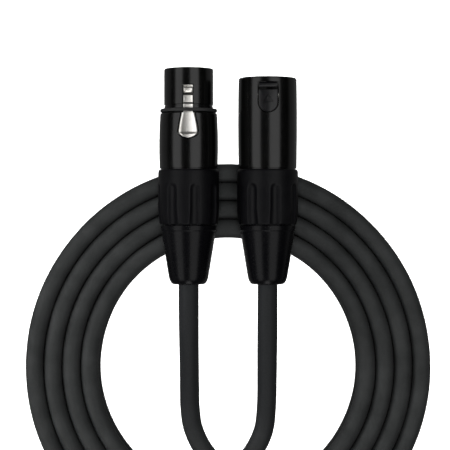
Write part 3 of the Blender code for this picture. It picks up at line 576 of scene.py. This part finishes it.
def cut_out(piece, points, faces):
    """Takes a closed shape away from a piece with an exact Boolean and keeps the result."""
    mesh = bpy.data.meshes.new("cutter")
    mesh.from_pydata(points.tolist(), [], faces)
    shape = bmesh.new()
    shape.from_mesh(mesh)
    bmesh.ops.recalc_face_normals(shape, faces=shape.faces)
    shape.to_mesh(mesh)
    shape.free()
    cutter = bpy.data.objects.new("cutter", mesh)
    bpy.context.scene.collection.objects.link(cutter)
    boolean = piece.modifiers.new("cut", "BOOLEAN")
    boolean.solver = "EXACT"
    boolean.object = cutter
    graph = bpy.context.evaluated_depsgraph_get()
    result = bpy.data.meshes.new_from_object(piece.evaluated_get(graph))
    piece.modifiers.clear()
    piece.data = result
    result.set_sharp_from_angle(angle=math.radians(30))
    bpy.data.objects.remove(cutter)


plating = black_plating()
shells = {}
for side, length in (("female", FEMALE_LENGTH), ("male", MALE_LENGTH)):
    points, faces = turned(*shell_profile(length, SHELL_FRONT_RADII[side]).T, SHELL_COLUMNS, side)
    shells[side] = add_piece(side + "_plated_shell", points, faces, plating, "cable_set", 30)
    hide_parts(side + "_shell")

TAB_REAR = 9.6 * MM
TAB_FRONT = 17.5 * MM
TAB_REAR_HALF = 3.15 * MM
TAB_FRONT_HALF = 2.1 * MM
TAB_CENTRE = TAB_REAR + 0.62 * TAB_REAR_HALF
WINDOW_GAP = 0.32 * MM


def tab_half_width(station, grow=0.0):
    """Half the width of the teardrop tab: an ellipse's end at the rear, then nearly straight flanks."""
    rear = (TAB_REAR_HALF + grow) * np.sqrt(np.clip(
        1 - (np.minimum(station - TAB_CENTRE, 0) / (TAB_CENTRE - TAB_REAR + grow)) ** 2, 0, 1))
    share = np.clip((station - TAB_CENTRE) / (TAB_FRONT - TAB_CENTRE), 0, 1)
    return rear + (TAB_FRONT_HALF - TAB_REAR_HALF) * share ** 1.25


notch_rear = TAB_REAR - WINDOW_GAP + (TAB_CENTRE - TAB_REAR) * (1 - np.cos(np.linspace(0, 1.5, 14)))
notch_station = np.concatenate([notch_rear, np.linspace(TAB_CENTRE + 0.2 * MM, FEMALE_LENGTH + MM, 12)])
notch_half = tab_half_width(notch_station, WINDOW_GAP)
notch = np.concatenate([np.stack([notch_half, notch_station], -1),
                        np.stack([-notch_half[::-1], notch_station[::-1]], -1)[:-1]])
cut_out(shells["female"], *prism(notch, CUT_FLOOR, ABOVE, "female"))

WINDOW_HALF = 3.4 * MM
WINDOW_FRONT = 27.5 * MM
WINDOW_REAR = 17.5 * MM
WINDOW_CORNER = 0.35 * MM


def window_outline(shrink, front):
    """A window with slightly rounded front corners, straight sides and a half-round rear end."""
    half = WINDOW_HALF - shrink
    turn = np.radians(np.linspace(180, 360, 25))
    tail = np.stack([half * np.cos(turn), WINDOW_REAR + WINDOW_HALF + half * np.sin(turn)], -1)
    quarter = np.linspace(0, np.pi / 2, 5)
    right = np.stack([half - WINDOW_CORNER + WINDOW_CORNER * np.cos(quarter),
                      front - WINDOW_CORNER + WINDOW_CORNER * np.sin(quarter)], -1)
    left = right[::-1] * [-1, 1]
    return np.concatenate([tail, right, left])


cut_out(shells["male"], *prism(window_outline(0, WINDOW_FRONT), CUT_FLOOR, ABOVE, "male"))

# --- The female nose: a turned sleeve pressed into the shell, the same plated zinc, with a narrow groove,
# a slot for the latch and a rubber ring behind it that the socket's rim closes on.

BARREL_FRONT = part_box("female_barrel")[1].y - SEAM_Y
BARREL_RADIUS = 7.92 * MM
BARREL_BORE = 7.0 * MM
BARREL_REAR = 4.3 * MM
BARREL_REAR_RADIUS = 7.8 * MM
GROOVE_FRONT = 20.4 * MM
GROOVE_REAR = GROOVE_FRONT - 0.4 * MM
GROOVE_FLOOR = BARREL_RADIUS - 0.34 * MM
SLOT_END = 26.7 * MM
SLOT_HALF = 1.7 * MM
SLOT_FLOOR = AXIS_Z + 3 * MM
barrel_corners = np.array([
    (BARREL_FRONT, BARREL_BORE), (BARREL_FRONT, BARREL_RADIUS), (GROOVE_FRONT, BARREL_RADIUS),
    (GROOVE_FRONT, GROOVE_FLOOR), (GROOVE_REAR, GROOVE_FLOOR),
    (GROOVE_REAR, BARREL_REAR_RADIUS), (BARREL_REAR, BARREL_REAR_RADIUS), (BARREL_REAR, BARREL_BORE),
])
barrel_profile = soften(barrel_corners, np.array([0.2, 0.6, 0.15, 0.05, 0.05, 0.08, 0.1, 0.1]) * MM, 6)
points, faces = turned(*barrel_profile.T, SHELL_COLUMNS, "female")
barrel = add_piece("female_nose_sleeve", points, faces, plating, "cable_set", 30)
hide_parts("female_barrel")
slot_corners = np.array([(-SLOT_HALF, 3 * MM), (SLOT_HALF, 3 * MM), (SLOT_HALF, SLOT_END),
                         (-SLOT_HALF, SLOT_END)])
slot = soften(slot_corners, np.array([0.01, 0.01, 0.35, 0.35]) * MM)
cut_out(barrel, *prism(slot, SLOT_FLOOR, ABOVE, "female"))
# Under the tab the sleeve's whole top is cut away, so that the tab can go down
relief = np.array([(-5, 0), (5, 0), (5, 18), (-5, 18)]) * MM
cut_out(barrel, *prism(relief, SLOT_FLOOR, ABOVE, "female"))

# Two narrow webs, left standing where the slot was milled, cross over the latch's grooves
WEB_LOW = 7.45 * MM
WEB_HIGH = 7.86 * MM
WEB_HALF = 1.75 * MM
WEB_ENDS = np.array([(20.4, 20.76), (23.22, 23.64)]) * MM
web_points, web_faces = [], []
for number, (rear, front) in enumerate(WEB_ENDS):
    corners = np.array([(-WEB_HALF, rear), (WEB_HALF, rear), (WEB_HALF, front), (-WEB_HALF, front)])
    points, faces = prism(corners, AXIS_Z + WEB_LOW, AXIS_Z + WEB_HIGH, "female")
    web_faces += (np.array(faces) + len(points) * number).tolist()
    web_points.append(points)
webs = add_piece("female_slot_webs", np.concatenate(web_points), web_faces, plating, "cable_set", 30)


def rubber():
    """Moulded rubber: black and matte, with a dry grain."""
    material, shader = new_material("moulded_rubber", "#0c0c0c", 0.7)
    surface = add_node(material, "ShaderNodeTexCoord")
    vary(material, shader, (surface, "Object"), 0.4 * MM, ("#0b0b0b", "#131313"), (0.62, 0.78), 0.015 * MM)
    return material


RING_REAR, RING_FRONT = 18.1 * MM, 19.15 * MM
RING_BORE, RING_RADIUS = 8.1 * MM, 9.17 * MM
ring_corners = np.array([(RING_REAR, RING_BORE), (RING_REAR, RING_RADIUS), (RING_FRONT, RING_RADIUS),
                         (RING_FRONT, RING_BORE)])
ring_profile = soften(ring_corners, np.array([0.05, 0.25, 0.4, 0.05]) * MM, 7)
points, faces = turned(*ring_profile.T, SHELL_COLUMNS, "female")
ring = add_piece("female_rubber_ring", points, faces, rubber(), "cable_set")
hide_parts("female_seal_ring")

# --- The latch: one stamped and coined lever of nickel-plated steel. Its teardrop tab is pressed down to
# free the hooked nose in the slot, and a leaf spring under it pushes it up again about a cross pin.

TAB_RADIUS = 9.3 * MM
CROWN_RADIUS = 17.0 * MM
TAB_LEAN = math.radians(3)
TAB_ROWS = 34
TAB_LIP = 0.12 * MM
TAB_DISH = 0.4 * MM
STRIP_HALF = 1.5 * MM
STRIP_CROWN = 0.35
CATCH_HALF = 1.6 * MM
UNDERSIDE = 7.0 * MM
LEVER_SIDES = 40

# The strip in front of the tab, as (station, height of its top): two low steps with grooves, and the hook
lever_profile = np.array([
    (17.52, 7.6), (19.35, 7.6), (19.42, 8.05), (20.25, 8.1), (20.32, 7.1), (20.8, 7.1), (20.88, 7.8),
    (23.05, 7.85), (23.15, 7.1), (23.68, 7.1), (23.8, 7.9), (24.1, 8.35), (24.5, 8.62), (25.0, 8.72),
    (25.5, 8.6), (25.75, 8.3), (25.82, 7.3), (26.1, 7.3), (26.16, 7.85), (26.4, 7.8),
]) * MM
lever_station, lever_top = lever_profile.T
tab_station = TAB_REAR + (TAB_FRONT - TAB_REAR) * (1 - np.cos(np.linspace(0.02, np.pi / 2, TAB_ROWS)))
lip = np.exp(-((tab_station - TAB_REAR - 0.75 * MM) / (0.55 * MM)) ** 2)
dish = eased(tab_station, TAB_REAR + 0.9 * MM, TAB_REAR + 2.2 * MM)
dish = dish * (1 - eased(tab_station, 15.5 * MM, TAB_FRONT))
stations = np.concatenate([tab_station, lever_station])
half_widths = np.concatenate([tab_half_width(tab_station), np.full(len(lever_station), STRIP_HALF)])
half_widths[TAB_ROWS + 2:TAB_ROWS + 4] = CATCH_HALF
tops = np.concatenate([TAB_RADIUS + TAB_LIP * lip - TAB_DISH * dish, lever_top])
crowns = np.concatenate([np.full(TAB_ROWS, 1.0), np.full(len(lever_station), STRIP_CROWN)])


def lever_skin():
    """A loft: at each station a cross-section with tight round corners between the underside and the top,
    and the top falls away sideways on a circle flatter than the shell's, by R - sqrt(R^2 - x^2), and
    leans to one side by x tan(lean)."""
    angle = np.linspace(0, 2 * np.pi, LEVER_SIDES, endpoint=False)
    across = np.sign(np.cos(angle)) * np.abs(np.cos(angle)) ** 0.42
    upward = np.sign(np.sin(angle)) * np.abs(np.sin(angle)) ** 0.42
    x = half_widths[:, None] * across
    fall = (CROWN_RADIUS - np.sqrt(CROWN_RADIUS ** 2 - x ** 2)) * crowns[:, None]
    middle = (tops[:, None] + UNDERSIDE) / 2
    fall = fall + x * math.tan(TAB_LEAN)
    z = middle + (tops[:, None] - UNDERSIDE) / 2 * upward - fall * (upward + 1) / 2
    y = np.broadcast_to(stations[:, None], x.shape)
    points = np.stack([AXES["female"] + x, SEAM_Y + y, AXIS_Z + z], -1)
    return points.reshape(-1, 3), capped(len(stations), LEVER_SIDES)


def coat(node_name, material):
    """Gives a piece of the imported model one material, and leaves its shape as it is."""
    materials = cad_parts[node_name].data.materials
    materials.clear()
    materials.append(material)


def nickel():
    """Nickel plate on coined steel: bright, slightly warm, softened by fine tumbling marks."""
    material, shader = new_material("tumbled_nickel_plate", "#f0eee9", 0.32, metallic=1.0)
    surface = add_node(material, "ShaderNodeTexCoord")
    vary(material, shader, (surface, "Object"), 0.45 * MM, ("#e8e5de", "#f6f4f0"), (0.26, 0.4), 0.008 * MM)
    return material


plate = nickel()
points, faces = lever_skin()
lever = add_piece("latch_lever_plated", points, faces, plate, "latch", 40)
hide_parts("latch_lever")
for name in ("latch_pin", "latch_spring"):
    coat(name, plate)

# --- The male window: a round nylon catch bar across it, which the latch snaps behind, and a flush nylon
# tongue that closes the rest. Both are moulded on the carrier behind them.

BAR_STATION = 26.45 * MM
BAR_HEIGHT = 8.45 * MM
BAR_RADIUS = 0.9 * MM
BAR_HALF = 2.95 * MM
PIP = 0.01 * MM  # the tiny stub at the middle of a turned end
ROD_SIDES = 32
TONGUE_FRONT = 24.9 * MM
TONGUE_RADIUS = 9.4 * MM
TONGUE_INSIDE = 8.2 * MM


def moulded_nylon():
    """Glass-filled nylon, moulded: black and satin, with faint flow marks and a fine grain."""
    material, shader = new_material("glass_filled_nylon", "#040405", 0.32, ior=1.38)
    surface = add_node(material, "ShaderNodeTexCoord")
    vary(material, shader, (surface, "Object"), 0.28 * MM, ("#030304", "#060607"), (0.28, 0.38), 0.005 * MM)
    return material


nylon = moulded_nylon()
bar_corners = np.array([(-BAR_HALF, PIP), (-BAR_HALF, BAR_RADIUS), (BAR_HALF, BAR_RADIUS), (BAR_HALF, PIP)])
bar_profile = soften(bar_corners, np.array([0, 0.15, 0.15, 0]) * MM, 5)
around_rod = np.linspace(0, 2 * np.pi, ROD_SIDES, endpoint=False)[None, :]
bar_points = np.stack([np.broadcast_to(AXES["male"] + bar_profile[:, :1], (len(bar_profile), ROD_SIDES)),
                       SEAM_Y + BAR_STATION + bar_profile[:, 1:] * np.sin(around_rod),
                       AXIS_Z + BAR_HEIGHT + bar_profile[:, 1:] * np.cos(around_rod)], -1).reshape(-1, 3)
bar = add_piece("male_catch_rod", bar_points, capped(len(bar_profile), ROD_SIDES), nylon, "cable_set")
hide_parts("male_catch_bar")


def curved_plate(outline, centre, outside, inside, side):
    """A plate bent to the shell's curve. Its rings shrink from the outline to the centre on the outer
    cylinder, z = sqrt(R^2 - x^2), and again on the inner one, with a rounded edge between them."""
    shares = np.array([0.0, 0.25, 0.5, 0.75, 0.9, 0.965, 0.985, 0.997, 1.0])
    drops = np.array([0, 0, 0, 0, 0, 0.01, 0.03, 0.09, 0.2]) * MM
    shrink = np.concatenate([shares, shares[::-1]])[:, None, None]
    flat = centre + (outline[None] - centre) * shrink
    radius = np.concatenate([outside - drops, np.full(len(shares), inside)])[:, None]
    z = np.sqrt(radius ** 2 - flat[..., 0] ** 2)
    points = np.stack([AXES[side] + flat[..., 0], SEAM_Y + flat[..., 1], AXIS_Z + z], -1)
    return points.reshape(-1, 3), skin_faces(2 * len(shares), len(outline))


tongue_centre = np.array([0, (WINDOW_REAR + TONGUE_FRONT) / 2])
tongue_outline = window_outline(GAP, TONGUE_FRONT)
points, faces = curved_plate(tongue_outline, tongue_centre, TONGUE_RADIUS, TONGUE_INSIDE, "male")
tongue = add_piece("male_window_tongue_moulded", points, faces, nylon, "cable_set", 45)
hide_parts("male_window_tongue")

# --- The mark on the tongue: a plain raised triangle that points to the nose, moulded with the tongue. It
# shows the way the connector goes in, and it is neither a maker's mark nor a letter.

MARK_BASE = 20.7 * MM
MARK_TIP = 23.8 * MM
MARK_HALF = 2.0 * MM
MARK_LINE = 0.4 * MM
MARK_RISE = 0.22 * MM
MARK_FOOT = -0.3 * MM


def raised_triangle(side_points=10):
    """A triangle's outline as a low bar bent to the tongue's cylinder, z = sqrt(R^2 - x^2). Its four edge
    loops, outer foot, outer top, inner top and inner foot, are the same triangle at two sizes."""
    corners = np.array([(-MARK_HALF, MARK_BASE), (MARK_HALF, MARK_BASE), (0, MARK_TIP)])
    share = np.linspace(0, 1, side_points, endpoint=False)[None, :, None]
    outline = (corners[:, None] * (1 - share) + np.roll(corners, -1, 0)[:, None] * share).reshape(-1, 2)
    middle = corners.mean(axis=0)
    inner = middle + (outline - middle) * (1 - 3 * MARK_LINE / (MARK_TIP - MARK_BASE))
    top_outer = middle + (outline - middle) * 0.87
    top_inner = middle + (inner - middle) * 1.2
    flat = np.stack([outline, top_outer, top_inner, inner])
    rise = np.array([MARK_FOOT, MARK_RISE, MARK_RISE, MARK_FOOT])[:, None]
    z = np.sqrt(TONGUE_RADIUS ** 2 - flat[..., 0] ** 2) + rise
    points = np.stack([AXES["male"] + flat[..., 0], SEAM_Y + flat[..., 1], AXIS_Z + z], -1)
    return points.reshape(-1, 3), skin_faces(4, len(outline), along=True)


points, faces = raised_triangle()
mark = add_piece("male_insertion_mark", points, faces, nylon, "cable_set", 30)

# --- The contacts: three turned pins in the male, three sprung sockets in the female, silver over brass,
# each in its bore of a nylon carrier. Behind them are the cores and the clamp that grips the jacket.

SOCKET_TAIL_RADIUS = 1.2 * MM
SOCKET_BORE = 1.25 * MM
for side in AXES:
    coat(side + "_insert", nylon)


def silver():
    """Silver plate on turned brass: bright and slightly dulled, with fine turning marks along it."""
    material, shader = new_material("silver_plated_brass", "#d8d6d0", 0.22, metallic=1.0)
    surface = add_node(material, "ShaderNodeTexCoord")
    vary(material, shader, (surface, "Object"), 0.2 * MM, ("#cfccc5", "#e2e0da"), (0.16, 0.3), 0.004 * MM)
    return material


contact_plate = silver()
for side, kind in (("female", "contact"), ("male", "pin")):
    for number in (1, 2, 3):
        low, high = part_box(f"{side}_{kind}_{number}")
        x, z = (low.x + high.x) / 2, (low.z + high.z) / 2
        first, last, reach = low.y - SEAM_Y, high.y - SEAM_Y, (high.x - low.x) / 2
        if kind == "pin":
            corners = [(first, PIP), (first, reach), (last, reach), (last, PIP)]
            cuts = [0, 0.2 * MM, 1.1 * MM, 0]
        else:
            corners = [(first, PIP), (first, SOCKET_TAIL_RADIUS), (first + 4.5 * MM, SOCKET_TAIL_RADIUS),
                       (first + 5.5 * MM, reach), (last, reach), (last, SOCKET_BORE),
                       (last - 15 * MM, SOCKET_BORE), (last - 16 * MM, PIP)]
            cuts = [0, 0.1 * MM, 0.1 * MM, 0.1 * MM, 0.2 * MM, 0.3 * MM, 0.1 * MM, 0]
        profile = soften(corners, cuts, 6)
        points = np.stack([x + profile[:, 1:] * np.sin(around_rod),
                           np.broadcast_to(SEAM_Y + profile[:, :1], (len(profile), ROD_SIDES)),
                           z + profile[:, 1:] * np.cos(around_rod)], -1).reshape(-1, 3)
        contact = add_piece(f"{side}_{kind}_plated_{number}", points, capped(len(profile), ROD_SIDES),
                            contact_plate, "cable_set")
        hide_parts(f"{side}_{kind}_{number}")


def core_sleeve(name, colours):
    """Soft extruded insulation: satin, in the core's own colour."""
    material, shader = new_material(name, colours[0], 0.5)
    surface = add_node(material, "ShaderNodeTexCoord")
    vary(material, shader, (surface, "Object"), 0.33 * MM, colours, (0.42, 0.58), 0.01 * MM)
    return material


sleeves = [core_sleeve("bare_braid_twist", ("#8c7f6e", "#b3a58f")),
           core_sleeve("red_core_sleeve", ("#7d1612", "#93211b")),
           core_sleeve("white_core_sleeve", ("#c9c7c0", "#dcdad4"))]
clamp = core_sleeve("acetal_clamp", ("#bfbeb8", "#d2d1cc"))
for side in AXES:
    for number, sleeve in enumerate(sleeves, 1):
        coat(f"{side}_core_{number}", sleeve)
    coat(side + "_chuck", clamp)

# --- The table: a white laminate top, lit from inside as a studio's light table is. It is
# kept out of reflections and throws no light on the object, so the black parts stay black.

TABLE_HALF = 8.0
table_mesh = bpy.data.meshes.new("table")
table_mesh.from_pydata([(-TABLE_HALF, -TABLE_HALF, 0), (TABLE_HALF, -TABLE_HALF, 0),
                        (TABLE_HALF, TABLE_HALF, 0), (-TABLE_HALF, TABLE_HALF, 0)], [], [(0, 1, 2, 3)])
table = bpy.data.objects.new("table", table_mesh)
bpy.context.scene.collection.objects.link(table)
table_white, table_shader = new_material("white_laminate", "#f4f4f4", 0.6)
table_shader.inputs["Emission Color"].default_value = (1, 1, 1, 1)
table_shader.inputs["Emission Strength"].default_value = 1.0
table_mesh.materials.append(table_white)
table.visible_glossy = False
table.visible_diffuse = False

# --- The lights: a long softbox on each side draws a bright band along every shell, and a wide one does so
# on the boots. They are only mirrored. The two fills are not mirrored, and light the cable's turns.

# Each row: name, azimuth and tilt in degrees, distance, width and length in metres, watts, mirrored or not
for name, azimuth, tilt, distance, width, length, power, mirrored in (
        ("left_softbox", 180, 45, 0.9, 0.55, 1.6, 4.4, True),
        ("right_softbox", 0, 27, 0.9, 0.66, 1.6, 5.3, True),
        ("boot_softbox", 270, 70, 0.9, 0.8, 0.3, 2.2, True),
        ("overhead_fill", 0, 0, 1.0, 0.3, 0.3, 15.0, False),
        ("left_fill", 180, 68, 0.32, 0.1, 0.5, 1.6, False)):
    light = bpy.data.lights.new(name, "AREA")
    light.shape = "RECTANGLE"
    light.size, light.size_y = width, length
    light.energy = power
    softbox = bpy.data.objects.new(name, light)
    softbox.visible_glossy = mirrored
    softbox.visible_diffuse = not mirrored
    bearing, lean = math.radians(azimuth), math.radians(tilt)
    softbox.location = (distance * math.sin(lean) * math.cos(bearing),
                        CAMERA_PLACE[1] + distance * math.sin(lean) * math.sin(bearing),
                        distance * math.cos(lean))
    softbox.rotation_euler = (0, lean, bearing)
    bpy.context.scene.collection.objects.link(softbox)

# --- The room: nearly dark above, and dim grey below the horizon, where the lit table would be ---------

world = bpy.data.worlds.new("studio")
world.use_nodes = True
sky = add_node(world, "ShaderNodeTexCoord")
rise = add_node(world, "ShaderNodeSeparateXYZ", {}, {"Vector": (sky, "Generated")})
shade = add_node(world, "ShaderNodeMapRange",
                 {"From Min": -0.12, "From Max": 0.08, "To Min": 0.2, "To Max": 0.01}, {"Value": (rise, "Z")})
background = world.node_tree.nodes["Background"]
world.node_tree.links.new(shade.outputs["Result"], background.inputs["Color"])
bpy.context.scene.world = world
